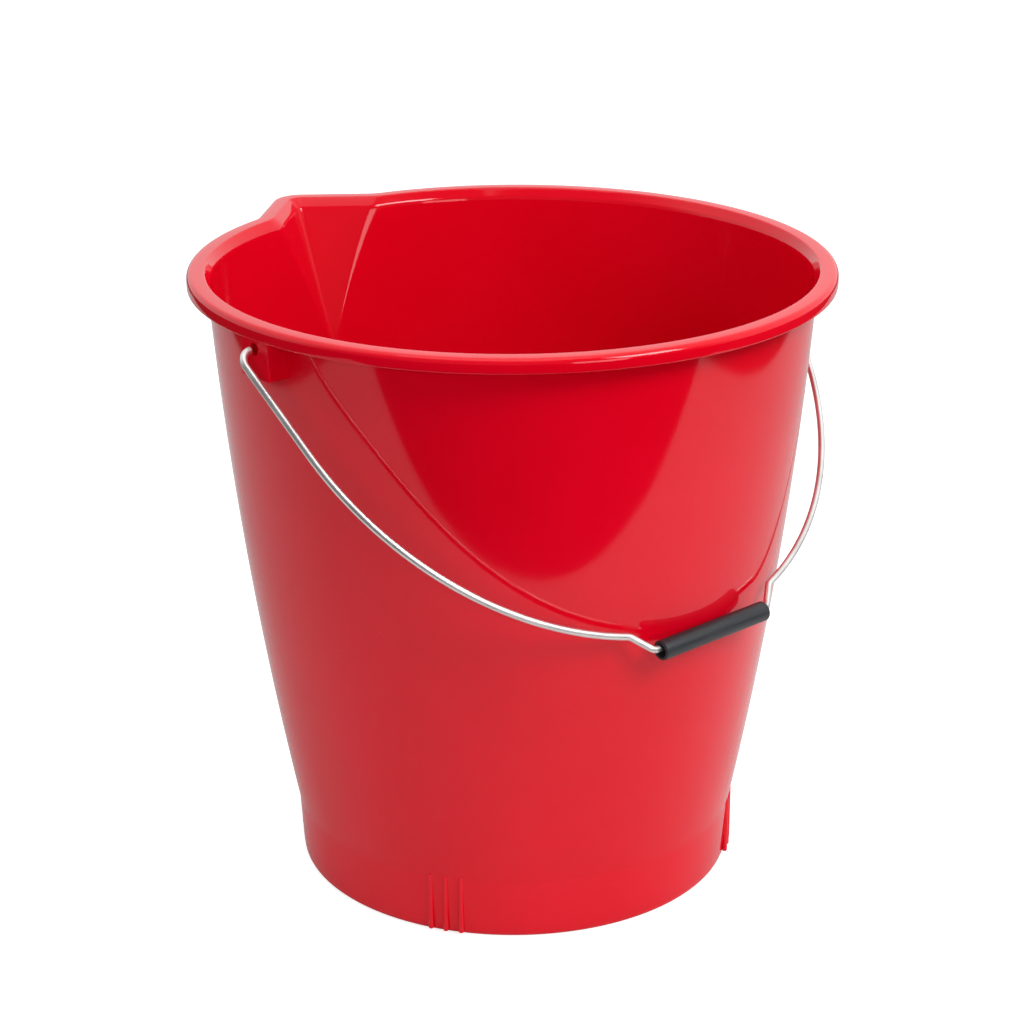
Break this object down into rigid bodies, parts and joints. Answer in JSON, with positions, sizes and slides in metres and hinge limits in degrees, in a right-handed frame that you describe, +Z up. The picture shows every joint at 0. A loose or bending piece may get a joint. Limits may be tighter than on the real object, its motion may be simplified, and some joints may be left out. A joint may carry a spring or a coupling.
{
  "type": "wash bucket",
  "caption": "Round tapered plastic wash bucket with a V pouring spout, turned-over rim, box ears and a swinging wire bail with a tube grip.",
  "frame": {"origin": "centre of the foot ring, on the surface the bucket stands on", "axes": "+Z up along the bucket's axis, +Y towards the pouring spout, X along the bail's pivot line through the two ears"},
  "size_m": [0.341, 0.3436, 0.316],
  "materials": {
    "red_polypropylene": "moulded gloss polypropylene, self-coloured red",
    "bright_steel_wire": "drawn bright steel wire",
    "black_grip_plastic": "extruded black plastic, satin"
  },
  "bodies": {
    "bucket": {"bucket_body": "red_polypropylene"},
    "bail": {"bail_wire": "bright_steel_wire"},
    "grip_tube": {"grip": "black_grip_plastic"}
  },
  "joints": [
    {"name": "bail_swing", "type": "hinge", "parent": "bucket", "child": "bail", "pos_m": [0, 0, 0.305], "axis": [-1, 0, 0], "range_deg": [0, 270]},
    {"name": "grip_spin", "type": "hinge", "parent": "bail", "child": "grip_tube", "pos_m": [0, -0.14124, 0.16277], "axis": [1, 0, 0], "continuous": true}
  ]
}
